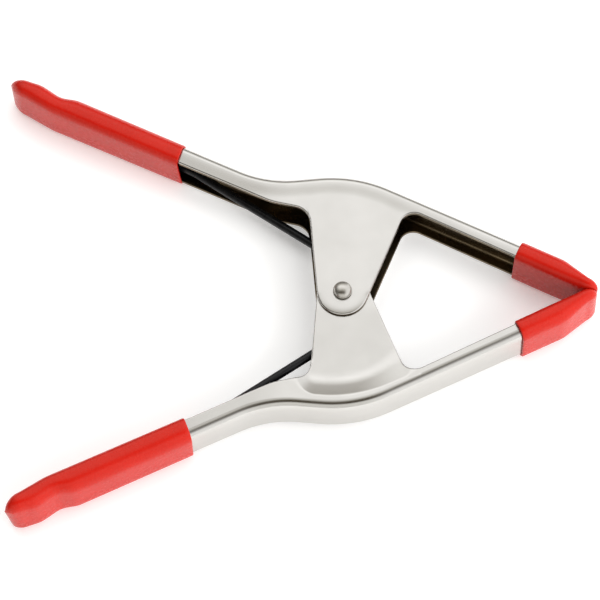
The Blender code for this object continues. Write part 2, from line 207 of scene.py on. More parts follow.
# Corner points (x, y) with the radius that rounds each one
WEB_OUTLINE = [
    (-124.6, 90.5, 0.0),
    (-115.8, 88.0, 10.0),
    (-108.2, 82.2, 9.0),
    (-101.9, handle_line(-101.9), 9.0),
    (-28.8, handle_line(-28.8), 42.0),
    (5.4, jaw_line(5.4), 51.0),
    (84.6, jaw_line(84.6), 9.0),
    (96.0, 1.6, 0.0),
]
HANDLE_EDGE = [
    (-128.5, 88.45, 0.0),
    (-112.5, 78.2, 30.0),
    (-27.0, 38.1, 25.0),
    (-17.6, 35.95, 0.0),
]
JAW_EDGE = [
    (30.0, 32.25, 0.0),
    (80.0, 7.3, 30.0),
    (94.5, 0.4, 0.0),
]
HANDLE_CORNER = (-12.75, 34.8, 7.0)
JAW_CORNER = (24.8, 34.8, 5.5)
# How far below level the ear's round end meets its handle side and its jaw side
EAR_LEFT_LEAN = math.radians(4.8)
EAR_RIGHT_LEAN = math.radians(22.1)


# ---------------------------------------------------------------- plane geometry


def rotated(vector, angle):
    """The vector turned anticlockwise by an angle."""
    cosine = math.cos(angle)
    sine = math.sin(angle)
    return Vector((vector.x * cosine - vector.y * sine, vector.x * sine + vector.y * cosine))


def rounded(points, arc_steps):
    """Polyline through corner points, each corner replaced by an arc of its radius."""
    path = []
    last = len(points) - 1
    for index, (x, y, radius) in enumerate(points):
        corner = Vector((x, y))
        if index in (0, last) or radius <= 0.0:
            path.append(corner)
            continue
        back = (Vector(points[index - 1][:2]) - corner).normalized()
        ahead = (Vector(points[index + 1][:2]) - corner).normalized()
        half = back.angle(ahead) / 2
        centre = corner + (back + ahead).normalized() * (radius / math.sin(half))
        reach = radius / math.tan(half)
        start = corner + back * reach - centre
        turn = start.angle_signed(corner + ahead * reach - centre)
        for step in range(arc_steps + 1):
            path.append(centre + rotated(start, -turn * step / arc_steps))
    return path


def resample(path, count):
    """Points at equal distances along a polyline, both ends included."""
    lengths = [0.0]
    for a, b in zip(path, path[1:]):
        lengths.append(lengths[-1] + (b - a).length)
    result = []
    segment = 0
    for step in range(count + 1):
        target = lengths[-1] * step / count
        while segment < len(path) - 2 and lengths[segment + 1] < target:
            segment += 1
        span = lengths[segment + 1] - lengths[segment]
        share = (target - lengths[segment]) / span if span > 0.0 else 0.0
        result.append(path[segment].lerp(path[segment + 1], share))
    return result


def height_at(path, x):
    """Height and upward normal of a polyline that runs towards +X."""
    for a, b in zip(path, path[1:]):
        if x <= b.x:
            break
    point = a.lerp(b, (x - a.x) / (b.x - a.x))
    along = (b - a).normalized()
    return point, Vector((-along.y, along.x))


def smooth(value):
    """Smooth step from 0 to 1."""
    value = min(max(value, 0.0), 1.0)
    return value * value * (3.0 - 2.0 * value)


def ramp(share, first, last):
    """Straight rise from 0 to 1 whose start and end are rounded over a share of its length."""
    share = min(max(share, 0.0), 1.0)
    gain = 1.0 / (1.0 - (first + last) / 2.0)
    if share < first:
        return gain * share * share / (2.0 * first)
    if share > 1.0 - last:
        return 1.0 - gain * (1.0 - share) ** 2 / (2.0 * last)
    return gain * (share - first / 2.0)


def spread(low, high, count):
    """Evenly spaced places from low up to, but not including, high."""
    return [low + (high - low) * step / count for step in range(count)]


def fine(low, high):
    """Places a station's step apart, without the last one."""
    return spread(low, high, max(2, round((high - low) / STATION_STEP)))


def half_width(x):
    """Half the channel's outside width at a place along the arm."""
    far = HANDLE_HALF_WIDTH if x < 0.0 else JAW_HALF_WIDTH
    return PIVOT_HALF_WIDTH + (far - PIVOT_HALF_WIDTH) * smooth(abs(x) / WIDTH_REACH)


WEB_PATH = rounded(WEB_OUTLINE, OUTLINE_STEPS)
HANDLE_EDGE_PATH = rounded(HANDLE_EDGE, EDGE_LINE_STEPS)
JAW_EDGE_PATH = rounded(JAW_EDGE, EDGE_LINE_STEPS)


# ---------------------------------------------------------------- the arm's stations


def ear_paths():
    """The ear's outline in three runs: handle side, round end and jaw side."""
    left = Vector((-math.cos(EAR_LEFT_LEAN), -math.sin(EAR_LEFT_LEAN))) * EAR_RADIUS
    right = Vector((math.cos(EAR_RIGHT_LEAN), -math.sin(EAR_RIGHT_LEAN))) * EAR_RADIUS
    handle_side = rounded([HANDLE_EDGE[-1], HANDLE_CORNER, (*left, 0.0)], EAR_CORNER_STEPS)
    jaw_side = rounded([(*right, 0.0), JAW_CORNER, JAW_EDGE[0]], EAR_CORNER_STEPS)
    sweep = math.pi - EAR_LEFT_LEAN - EAR_RIGHT_LEAN
    turns = spread(0.0, sweep, EAR_END_STEPS) + [sweep]
    round_end = [rotated(left, angle) for angle in turns]
    return handle_side, round_end, jaw_side


def edge_foot(path, web, across):
    """Point of an edge path below a web point, straight across the arm."""
    depth = BEND_RADIUS
    for _ in range(FOOT_ROUNDS):
        foot = height_at(path, web.x - across.x * depth)[0]
        depth = (web.y - foot.y) / across.y
    return foot


def straight_stations(places, path, join_x, join_edge):
    """Matched points beside an ear.  Near the ear the edge points lean towards it."""
    run = (path[-1] - path[0]).normalized()
    across = Vector((-run.y, run.x))
    result = []
    for x in places:
        web, normal = height_at(WEB_PATH, x)
        foot = edge_foot(path, web, across)
        share = smooth(abs(x - join_x) / LEAN_LENGTH)
        shifted = (join_edge.x + x - join_x) * (1.0 - share) + foot.x * share
        result.append((web, normal, height_at(path, shifted)[0]))
    return result


def handle_stations(places):
    """Stations down the handle."""
    return straight_stations(places, HANDLE_EDGE_PATH, EAR_BACK, HANDLE_EDGE_PATH[-1])


def jaw_stations(places):
    """Stations down the jaw."""
    return straight_stations(places, JAW_EDGE_PATH, EAR_FRONT, JAW_EDGE_PATH[0])


def arm_stations():
    """Matched points down the arm: web point, web normal, edge point."""
    handle_side, round_end, jaw_side = ear_paths()
    result = handle_stations(fine(HANDLE_STEEL_END, EAR_BACK))
    runs = [
        (EAR_BACK, EAR_END_FROM, handle_side),
        (EAR_END_FROM, EAR_END_TO, round_end),
        (EAR_END_TO, EAR_FRONT, jaw_side),
    ]
    for (low, high, edge), count in zip(runs, EAR_STATIONS):
        for x, edge_point in zip(spread(low, high, count), resample(edge, count)):
            point, normal = height_at(WEB_PATH, x)
            result.append((point, normal, edge_point))
    return result + jaw_stations(fine(EAR_FRONT, JAW_STEEL_END) + [JAW_STEEL_END])


def web_distance(x, y):
    """How far a point of the side view lies from the web."""
    web, normal = height_at(WEB_PATH, min(max(x, HANDLE_STEEL_END), JAW_STEEL_END))
    return (web - Vector((x, y))).dot(normal)


def joggle_depth(x, y):
    """How far the flange steps inwards at a point of the inner arm's side."""
    depth = web_distance(x, y)
    softening = smooth((x - JOGGLE_SOFT) / JOGGLE_FRONT)
    start = JOGGLE_FROM - JOGGLE_ADVANCE * softening
    step_width = JOGGLE_WIDTH + JOGGLE_SPREAD * softening
    inwards = (depth - start) / step_width
    forwards = (x - JOGGLE_BACK + JOGGLE_FADE) / JOGGLE_FADE
    backwards = (JOGGLE_FRONT + JOGGLE_FADE - x) / JOGGLE_FADE
    short = [1.0 - min(max(share, 0.0), 1.0) for share in (inwards, forwards, backwards)]
    share = ramp(1.0 - math.hypot(*short), JOGGLE_TOP, JOGGLE_FOOT)
    whole = smooth((depth - JOGGLE_WHOLE + JOGGLE_BLEND) / JOGGLE_BLEND)
    tilt = EAR_TILT * max(0.0, abs(y) - EAR_FLAT)
    return (JOGGLE + tilt) * max(share, whole)


def flange_sink(x, y, stepped):
    """How far an arm's flange lies inside its half width at a point of its side view."""
    depth = max(0.0, web_distance(x, y) - BEND_RADIUS)
    lean = FLANGE_LEAN * depth * smooth((EAR_BACK - x) / FLANGE_FADE)
    if stepped:
        return joggle_depth(x, y) - lean
    rim = max(0.0, math.hypot(x, y) - EAR_RADIUS + EAR_LIP_WIDTH) / EAR_LIP_WIDTH
    roll = EAR_LIP * rim ** 2 * smooth(-y / EAR_LIP_WIDTH) if rim < EAR_LIP_REACH else 0.0
    return DISH * smooth(depth / DISH_WIDTH) + lean + roll


# ---------------------------------------------------------------- meshes


def new_object(name, verts, faces, crease):
    """Object built from millimetre points, shaded smooth up to a crease angle in degrees."""
    mesh = bpy.data.meshes.new(name)
    spots = [(x * MM + PIVOT.x, y * MM + PIVOT.y, z * MM + PIVOT.z) for x, y, z in verts]
    mesh.from_pydata(spots, [], faces)
    shaped = bmesh.new()
    shaped.from_mesh(mesh)
    bmesh.ops.recalc_face_normals(shaped, faces=shaped.faces)
    shaped.to_mesh(mesh)
    shaped.free()
    mesh.shade_smooth()
    mesh.set_sharp_from_angle(angle=math.radians(crease))
    item = bpy.data.objects.new(name, mesh)
    bpy.context.scene.collection.objects.link(item)
    return item


def skin(rings):
    """Points and quads of a closed band through rings of equal length."""
    count = len(rings[0])
    verts = [point for ring in rings for point in ring]
    faces = []
    for first in range(0, len(verts) - count, count):
        second = first + count
        for i in range(count):
            j = (i + 1) % count
            faces.append((first + i, first + j, second + j, second + i))
    return verts, faces


def capped_skin(rings):
    """The same band with a face over each of its ends."""
    verts, faces = skin(rings)
    count = len(rings[0])
    faces.append(tuple(range(count)))
    faces.append(tuple(range(len(verts) - count, len(verts))))
    return verts, faces


def flange_share(share):
    """Place of a flange row between the edge and the bend, closer together at the bend."""
    rows, width = FLANGE_CROWD
    if share < rows:
        return share / rows * width
    return width + (share - rows) / (1.0 - rows) * (1.0 - width)


def surface_side(station, edge, stepped, inset):
    """Points of one sheet surface, inset from the outside, from the flange's edge to mid web."""
    web, normal, foot = station
    bend = INNER_BEND_RADIUS if stepped else BEND_RADIUS
    radius = min(bend, (web - foot).length * NARROW_BEND)
    inner = radius - inset
    wide = half_width(web.x)
    start = web - normal * radius
    points = []
    for step in range(FLANGE_STEPS):
        spot = edge.lerp(start, flange_share(step / FLANGE_STEPS))
        step_in = flange_sink(spot.x, spot.y, stepped)
        points.append((spot.x, spot.y, half_width(spot.x) - inset - step_in))
    for step in range(BEND_STEPS + 1):
        angle = math.pi / 2 * step / BEND_STEPS
        spot = start + normal * (math.sin(angle) * inner)
        points.append((spot.x, spot.y, wide - radius + math.cos(angle) * inner))
    flat = wide - radius
    top = web - normal * inset
    for step in range(1, WEB_STEPS + 1):
        points.append((top.x, top.y, flat * (1.0 - step / WEB_STEPS)))
    return points


def edge_profile(edge, out, stepped):
    """Points round the sheet's cut edge, from the outer surface to the inner one."""
    step_in = flange_sink(edge.x, edge.y, stepped)
    top = half_width(edge.x) - step_in
    points = []
    for step in range(EDGE_STEPS + 1):
        angle = math.pi / 2 * step / EDGE_STEPS
        spot = edge - out * (EDGE_ROLL * (1.0 - math.sin(angle)))
        points.append((spot.x, spot.y, top - EDGE_ROLL * (1.0 - math.cos(angle))))
    for step in range(EDGE_STEPS + 1):
        angle = math.pi / 2 * step / EDGE_STEPS
        spot = edge - out * (EDGE_BREAK * (1.0 - math.cos(angle)))
        points.append((spot.x, spot.y, top - SHEET + EDGE_BREAK * (1.0 - math.sin(angle))))
    return points


def arm_ring(station, out, stepped):
    """One closed loop round the sheet: outer surface, cut edge, inner surface, cut edge."""
    edge = station[2]
    outer = surface_side(station, edge - out * EDGE_ROLL, stepped, 0.0)
    inner = surface_side(station, edge - out * EDGE_BREAK, stepped, SHEET)
    rim = edge_profile(edge, out, stepped)[1:-1]
    near = list(reversed(outer))[1:] + rim + inner[:-1]
    far = [(x, y, -z) for x, y, z in near]
    web_outer = outer[-1]
    web_inner = inner[-1]
    return [web_outer] + near + [web_inner] + list(reversed(far))


def build_arm(name, side, stepped, materials):
    """Pressed channel arm with its two ears, a closed sheet with rounded edges.

    Its outside has the first material, and its inside and its cut edges have the second, a darker
    one that paints the shade and dim brown reflections of the channel's hollow and a dark line
    along its edges.
    """
    line = arm_stations()
    rings = []
    for index, station in enumerate(line):
        before = line[max(index - 1, 0)][2]
        after = line[min(index + 1, len(line) - 1)][2]
        along = (after - before).normalized()
        ring = arm_ring(station, Vector((along.y, -along.x)), stepped)
        rings.append([(x, y * side, z) for x, y, z in ring])
    verts, faces = capped_skin(rings)
    count = len(rings[0])
    arm = new_object(name, verts, faces, ARM_CREASE)
    for material in materials:
        arm.data.materials.append(material)
    # The outside's material reaches round the cut edge's rounding, all but its last step; the rest
    # takes the darker material with painted shade
    outside_points = WEB_STEPS + BEND_STEPS + FLANGE_STEPS + EDGE_STEPS - 1
    for index, face in enumerate(arm.data.polygons):
        if outside_points <= index % count < count - outside_points:
            face.material_index = 1
    cut_hole(arm)
    soften(arm)
    return arm


def cut_hole(arm):
    """Round rivet hole through both ears."""
    bpy.ops.mesh.primitive_cylinder_add(
        vertices=ROUND_STEPS,
        radius=RIVET_HOLE * MM,
        depth=CUTTER_LENGTH * MM,
        location=PIVOT,
    )
    cutter = bpy.context.object
    cut = arm.modifiers.new("rivet hole", "BOOLEAN")
    cut.operation = "DIFFERENCE"
    cut.solver = "EXACT"
    cut.object = cutter
    apply_modifiers(arm)
    bpy.data.objects.remove(cutter, do_unlink=True)


def apply_modifiers(item):
    """Replaces the object's mesh with its evaluated one."""
    graph = bpy.context.evaluated_depsgraph_get()
    shaped = bpy.data.meshes.new_from_object(item.evaluated_get(graph))
    item.modifiers.clear()
    item.data = shaped


def soften(item):
    """Keeps flat faces flat beside rounded ones."""
    weighted = item.modifiers.new("weighted normals", "WEIGHTED_NORMAL")
    weighted.keep_sharp = True
    weighted.weight = NORMAL_WEIGHT


def turned(name, profile, crease):
    """Body of revolution about the rivet's axis from a closed (radius, z) profile."""
    rings = []
    for step in range(ROUND_STEPS + 1):
        angle = 2.0 * math.pi * (step % ROUND_STEPS) / ROUND_STEPS
        rings.append([(r * math.cos(angle), r * math.sin(angle), z) for r, z in profile])
    verts, faces = skin(rings)
    item = new_object(name, verts, faces, crease)
    merge(item)
    return item


def merge(item):
    """Joins points that lie in the same place."""
    shaped = bmesh.new()
    shaped.from_mesh(item.data)
    bmesh.ops.remove_doubles(shaped, verts=shaped.verts, dist=MERGE_DISTANCE * MM)
    bmesh.ops.recalc_face_normals(shaped, faces=shaped.faces)
    shaped.to_mesh(item.data)
    shaped.free()


def arc(centre, radius, start, end, steps):
    """Points of a circle in the (radius, z) plane between two angles in degrees."""
    points = []
    for step in range(steps + 1):
        angle = math.radians(start + (end - start) * step / steps)
        points.append((centre[0] + radius * math.cos(angle), centre[1] + radius * math.sin(angle)))
    return points


def build_rivet(material):
    """Round-headed rivet, its tail spread under the far ear with a shallow dimple."""
    top = PIVOT_HALF_WIDTH + HEAD_CLEARANCE
    low = -top
    tail = RIVET_TAIL_EDGE
    head = RIVET_HEAD_EDGE
    profile = [(radius, low - RIVET_TAIL_HEIGHT * share) for radius, share in RIVET_DIMPLE]
    profile += arc((RIVET_TAIL - tail, low - tail), tail, *TAIL_ARC)
    profile += [(RIVET_SHANK, low), (RIVET_SHANK, top)]
    profile += arc((RIVET_HEAD - head, top + head), head, *HEAD_ARC)
    for step in range(1, DOME_STEPS):
        angle = math.pi / 2 * step / DOME_STEPS
        height = head + (RIVET_DOME - head) * math.sin(angle)
        profile.append((RIVET_HEAD * math.cos(angle), top + height))
    profile.append((0.0, top + RIVET_DOME))
    profile.append((0.0, 0.0))
    rivet = turned("rivet", profile, RIVET_CREASE)
    rivet.data.materials.append(material)
    return rivet


def build_bush(material):
    """Plain spacer tube on the rivet, inside the coil."""
    half = PIVOT_HALF_WIDTH - JOGGLE - SHEET - GAP
    end = [
        (BUSH_OUTER, half - BUSH_CHAMFER),
        (BUSH_OUTER - BUSH_CHAMFER, half),
        (BUSH_BORE + BUSH_CHAMFER, half),
        (BUSH_BORE, half - BUSH_CHAMFER),
    ]
    profile = [(radius, -z) for radius, z in reversed(end)] + end
    bush = turned("bush", profile, BUSH_CREASE)
    bush.data.materials.append(material)
    return bush


def leg_path(side, z, offset):
    """Centre line of one spring leg: off the coil, round a bend and out along its handle."""
    along = Vector((-math.cos(LEG_SLOPE), math.sin(LEG_SLOPE)))
    foot = Vector((math.sin(LEG_SLOPE), math.cos(LEG_SLOPE))) * offset
    corner = foot + along * ((COIL_RADIUS - foot.x) / along.x)
    sunk = SHEET + WIRE + GAP
    web, normal = height_at(WEB_PATH, LEG_TIP)
    tip = web - normal * sunk
    touch = foot + along * ((tip - foot).dot(normal) / along.dot(normal))
    points = [
        (COIL_RADIUS, 0.0, 0.0),
        (corner.x, corner.y, LEG_BEND),
        (touch.x, touch.y, LEG_CREASE),
        (tip.x, tip.y, 0.0),
    ]
    path = resample(rounded(points, LEG_BEND_STEPS), LEG_STEPS)
    return [Vector((point.x, point.y * side, z)) for point in path]


def build_spring(material):
    """Torsion spring: a coil about the rivet and one leg into each handle."""
    rise = COIL_TURNS * COIL_PITCH
    coil = []
    for turn in spread(0.0, COIL_TURNS, COIL_TURNS * COIL_STEPS)[1:]:
        angle = 2.0 * math.pi * turn
        z = rise / 2 - COIL_PITCH * turn
        coil.append(Vector((COIL_RADIUS * math.cos(angle), COIL_RADIUS * math.sin(angle), z)))
    path = list(reversed(leg_path(-1, rise / 2, LOWER_LEG_OFFSET))) + coil
    path += leg_path(1, -rise / 2, UPPER_LEG_OFFSET)
    spring = tube("spring", path, WIRE)
    spring.data.materials.append(material)
    return spring


def tube(name, path, radius):
    """Round bar along a path, its cut ends slightly rounded."""
    across = (path[1] - path[0]).orthogonal().normalized()
    first = (path[0] - path[1]).normalized()
    last = (path[-1] - path[-2]).normalized()
    sections = [(path[0] + first * past, radius * share) for past, share in reversed(WIRE_END)]
    sections += [(point, radius) for point in path]
    sections += [(path[-1] + last * past, radius * share) for past, share in WIRE_END]
    rings = []
    for index, (point, size) in enumerate(sections):
        before = sections[max(index - 1, 0)][0]
        after = sections[min(index + 1, len(sections) - 1)][0]
        tangent = (after - before).normalized()
        across = (across - tangent * across.dot(tangent)).normalized()
        other = tangent.cross(across)
        ring = []
        for side in range(WIRE_SIDES):
            angle = 2.0 * math.pi * side / WIRE_SIDES
            ring.append(point + (across * math.cos(angle) + other * math.sin(angle)) * size)
        rings.append([tuple(spot) for spot in ring])
    verts, faces = capped_skin(rings)
    return new_object(name, verts, faces, WIRE_CREASE)


def sleeve_ring(top, bottom, wide, radii, form, lean):
    """Rectangle between two points of the side view, its web and edge corners rounded.

    Its near side is a little crowned and stands further out than the side it lies on.
    """
    middle = (top + bottom) / 2
    up = (top - bottom).normalized()
    tall = (top - bottom).length / 2
    corners = []
    for quarter, (sign_z, sign_up) in enumerate(((1, 1), (-1, 1), (-1, -1), (1, -1))):
        radius = min(radii[0 if sign_up > 0 else 1], tall * CORNER_LIMIT, wide * CORNER_LIMIT)
        corner = []
        for step in range(BEND_STEPS + 1):
            angle = math.pi / 2 * (quarter + step / BEND_STEPS)
            z = sign_z * (wide - radius) + radius * math.cos(angle)
            rise = sign_up * (tall - radius) + radius * math.sin(angle)
            corner.append((z, rise))
        corners.append(corner)
    ring = []
    for corner, following in zip(corners, corners[1:] + corners[:1]):
        side = [mixed(corner[-1], following[0], step / SIDE_STEPS)
                for step in range(1, SIDE_STEPS)]
        for z, rise in corner + side:
            spot = middle + up * rise * (1.0 - WEB_CROWN * (z / wide) ** 2)
            off_crest = (rise / tall - form["crest"]) / (1.0 + abs(form["crest"]))
            crown = SIDE_CROWN * (1.0 - off_crest ** 2) if z > 0.0 else 0.0
            across = z * (1.0 + crown)
            shift = lean * z / wide - form["slant"] * rise / tall
            ring.append((spot.x + shift, spot.y, across))
    return ring


def mixed(first, second, share):
    """Point part of the way between two (z, rise) pairs."""
    return tuple(a + (b - a) * share for a, b in zip(first, second))


def sleeve_rows(covered, margin, wide, radii, form):
    """Rings of one sleeve surface from its mouth to the steel's end."""
    rows = []
    first, last = form["lean"]
    for index, (web, _, edge) in enumerate(covered):
        lean = first + (last - first) * index / (len(covered) - 1)
        down = (edge - web).normalized()
        top = web - down * margin
        bottom = edge + down * margin
        rows.append(sleeve_ring(top, bottom, wide, radii, form, lean))
    return rows


def nose_rows(covered, margin, wide, radii, form):
    """Rings that round off the closed end."""
    rows = []
    web, _, edge = covered[-1]
    down = (edge - web).normalized()
    out = Vector((down.y, -down.x))
    if out.x * web.x < 0.0:
        out = -out
    middle = (web + edge) / 2
    tall = (web - edge).length / 2 + margin
    for step in range(1, NOSE_STEPS + 1):
        angle = NOSE_TURN * step / NOSE_STEPS
        centre = middle + out * form["nose"] * math.sin(angle)
        half = -down * tall * math.cos(angle)
        shrink = form["nose"] * NOSE_TAPER * (1.0 - math.cos(angle))
        ring = sleeve_ring(centre + half, centre - half, wide - shrink, radii, form,
                           form["lean"][1])
        rows.append(ring)
    return rows


def mouth_rows(inner, outer, out):
    """Rings that round the wall's edge from the outer surface to the inner one."""
    rows = []
    for angle in MOUTH_ANGLES:
        share = (1.0 + math.cos(math.radians(angle))) / 2
        bulge = out * (SLEEVE_WALL / 2 * math.sin(math.radians(angle)))
        ring = []
        for near, far in zip(inner, outer):
            spot = Vector(near).lerp(Vector(far), share)
            ring.append((spot.x + bulge.x, spot.y + bulge.y, spot.z))
        rows.append(ring)
    return rows


def build_sleeve(name, side, covered, wide, material):
    """Soft sleeve with a closed, rounded end, hollow where the steel sits."""
    form = SLEEVE_FORMS[name]
    outside = wide + SLEEVE_MARGIN
    outer = sleeve_rows(covered, SLEEVE_MARGIN, outside, SLEEVE_CORNERS, form)
    outer += nose_rows(covered, SLEEVE_MARGIN, outside, SLEEVE_CORNERS, form)
    outer = [[(x, max(y, CONTACT), z) for x, y, z in ring] for ring in outer]
    inner = sleeve_rows(covered, CAVITY_GAP, wide + CAVITY_GAP, CAVITY_CORNERS, form)
    web, normal, _ = covered[0]
    out = Vector((normal.y, -normal.x)) * -math.copysign(1.0, web.x)
    rings = list(reversed(outer)) + mouth_rows(inner[0], outer[0], out) + inner
    verts, faces = capped_skin(rings)
    verts = [(x, y * side, z) for x, y, z in verts]
    sleeve = new_object(name, verts, faces, SLEEVE_CREASE)
    sleeve.data.materials.append(material)
    return sleeve


# ---------------------------------------------------------------- materials

NOISE_LOW = 0.3            # most of a noise's values lie between these two
NOISE_HIGH = 0.7


class Nodes:
    """Short way to add and join the nodes of one material."""

    def __init__(self, name):
        self.material = bpy.data.materials.new(name)
        self.material.use_nodes = True
        self.tree = self.material.node_tree
        self.shader = self.tree.nodes["Principled BSDF"]
        self.place = self.add("ShaderNodeTexCoord").outputs["Object"]

    def add(self, kind, **settings):
        node = self.tree.nodes.new(kind)
        for key, value in settings.items():
            setattr(node, key, value)
        return node

    def join(self, source, target):
        self.tree.links.new(source, target)

    def noise(self, scale, detail, roughness=0.55, stretch=(1.0, 1.0, 1.0)):
        """Noise at a scale in cycles per metre, squeezed along the object's axes."""
        mapping = self.add("ShaderNodeMapping")
        mapping.inputs["Scale"].default_value = stretch
        self.join(self.place, mapping.inputs["Vector"])
        texture = self.add("ShaderNodeTexNoise")
        texture.inputs["Scale"].default_value = scale
        texture.inputs["Detail"].default_value = detail
        texture.inputs["Roughness"].default_value = roughness
        self.join(mapping.outputs["Vector"], texture.inputs["Vector"])
        return texture.outputs["Fac"]

    def remap(self, source, low, high):
        """The middle of a noise's range, stretched from low to high."""
        node = self.add("ShaderNodeMapRange")
        node.inputs["From Min"].default_value = NOISE_LOW
        node.inputs["From Max"].default_value = NOISE_HIGH
        node.inputs["To Min"].default_value = low
        node.inputs["To Max"].default_value = high
        self.join(source, node.inputs["Value"])
        return node.outputs["Result"]

    def setting(self, socket, value):
        """A value set directly on the shader."""
        self.shader.inputs[socket].default_value = value

    def colour(self, source, first, second):
        """Base colour that drifts between two colours."""
        node = self.add("ShaderNodeMix", data_type="RGBA")
        node.inputs["A"].default_value = (*first, 1.0)
        node.inputs["B"].default_value = (*second, 1.0)
        self.join(self.remap(source, 0.0, 1.0), node.inputs["Factor"])
        self.join(node.outputs["Result"], self.shader.inputs["Base Color"])

    def roughness(self, source, low, high):
        """Roughness that drifts between two values."""
        self.join(self.remap(source, low, high), self.shader.inputs["Roughness"])

    def bump(self, heights):
        """Bumps from (height source, depth in metres) pairs, one after another."""
        normal = None
        for source, depth in heights:
            node = self.add("ShaderNodeBump")
            node.inputs["Strength"].default_value = 1.0
            node.inputs["Distance"].default_value = depth
            self.join(source, node.inputs["Height"])
            if normal is not None:
                self.join(normal, node.inputs["Normal"])
            normal = node.outputs["Normal"]
        self.join(normal, self.shader.inputs["Normal"])


def nickel_material(name, light, dark, low_rough, high_rough):
    """Bright nickel plate over pressed sheet."""
    nodes = Nodes(name)
    cloud = nodes.noise(60.0, 4.0)
    grain = nodes.noise(900.0, 2.0, 0.5, (0.25, 1.0, 1.0))
    wave = nodes.noise(90.0, 1.0)
    nodes.setting("Metallic", 1.0)
    nodes.colour(cloud, light, dark)
    nodes.roughness(cloud, low_rough, high_rough)
    nodes.bump([(wave, 0.00003), (grain, 0.000003)])
    return nodes.material


def vinyl_material():
    """Dipped soft red vinyl."""
    nodes = Nodes("red_soft_vinyl")
    cloud = nodes.noise(70.0, 3.0)
    dimple = nodes.noise(500.0, 2.0)
    wave = nodes.noise(120.0, 1.0)
    nodes.colour(cloud, (0.56, 0.011, 0.005), (0.5, 0.009, 0.004))
    nodes.roughness(dimple, 0.25, 0.29)
    nodes.setting("IOR", 1.4)
    nodes.setting("Specular Tint", (1.0, 0.9, 0.75, 1.0))
    nodes.setting("Subsurface Weight", 0.06)
    nodes.setting("Subsurface Radius", (0.004, 0.001, 0.0008))
    nodes.setting("Subsurface Scale", 0.4)
    nodes.bump([(wave, 0.00006), (dimple, 0.000002)])
    return nodes.material


def wire_material():
    """Oiled black spring wire."""
    nodes = Nodes("black_spring_wire")
    cloud = nodes.noise(300.0, 3.0)
    nodes.colour(cloud, (0.003, 0.0033, 0.004), (0.008, 0.0085, 0.01))
    nodes.roughness(cloud, 0.22, 0.34)
    nodes.setting("Specular IOR Level", 0.3)
    nodes.bump([(cloud, 0.00001)])
    return nodes.material


# ---------------------------------------------------------------- studio

FLOOR_SIZE = 16.0          # metres
FLOOR_GLOW = 0.28          # the table is lit a little from below


def floor_material():
    """Matt white table."""
    nodes = Nodes("studio_floor")
    nodes.colour(nodes.noise(4.0, 2.0), (0.9, 0.9, 0.9), (0.88, 0.88, 0.88))
    nodes.setting("Roughness", 0.8)
    nodes.setting("Specular IOR Level", 0.1)
    nodes.setting("Emission Color", (1.0, 1.0, 1.0, 1.0))
    nodes.setting("Emission Strength", FLOOR_GLOW)
    return nodes.material


def build_floor():
    """Plain pale floor, not part of the object."""
    bpy.ops.mesh.primitive_plane_add(size=FLOOR_SIZE, location=(0.0, 0.0, 0.0))
    floor = bpy.context.object
    floor.name = "floor"
    floor.data.materials.append(floor_material())


def softbox(name, place, size, power):
    """Area light aimed at the clamp, for its matt shading only."""
    data = bpy.data.lights.new(name, "AREA")
    data.shape = "RECTANGLE"
    data.size, data.size_y = size
    data.energy = power
    lamp = bpy.data.objects.new(name, data)
    lamp.location = Vector(place)
    lamp.rotation_mode = "QUATERNION"
    lamp.rotation_quaternion = (PIVOT - lamp.location).to_track_quat("-Z", "Y")
    lamp.visible_camera = False
    lamp.visible_glossy = False
    bpy.context.scene.collection.objects.link(lamp)


# Brightness round the clamp, by degrees from straight up towards the front
SURROUND = [
    (-180.0, (0.3, 0.3, 0.3)),
    (-100.0, (0.14, 0.135, 0.12)),
    (-78.0, (0.18, 0.17, 0.15)),
    (-66.0, (0.5, 0.48, 0.44)),
    (-56.0, (0.95, 0.94, 0.91)),
    (-49.0, (1.2, 1.2, 1.18)),
    (-42.0, (1.48, 1.48, 1.48)),
    (-35.0, (1.48, 1.48, 1.48)),
    (-29.0, (1.38, 1.38, 1.38)),
    (-22.0, (1.25, 1.25, 1.24)),
    (-12.0, (0.88, 0.87, 0.84)),
    (-2.0, (0.64, 0.62, 0.57)),
    (5.0, (0.35, 0.335, 0.3)),
    (12.0, (0.07, 0.055, 0.035)),
    (36.0, (0.07, 0.055, 0.035)),
    (45.0, (0.95, 0.94, 0.9)),
    (82.0, (0.9, 0.89, 0.86)),
    (95.0, (0.3, 0.3, 0.3)),
    (180.0, (0.3, 0.3, 0.3)),
]
# Dim left side and bright right side: from and to this share of straight left or right, colour
SIDES = [
    (-0.4, -0.85, (0.15, 0.145, 0.13)),
    (0.28, 0.62, (1.2, 1.2, 1.2)),
]


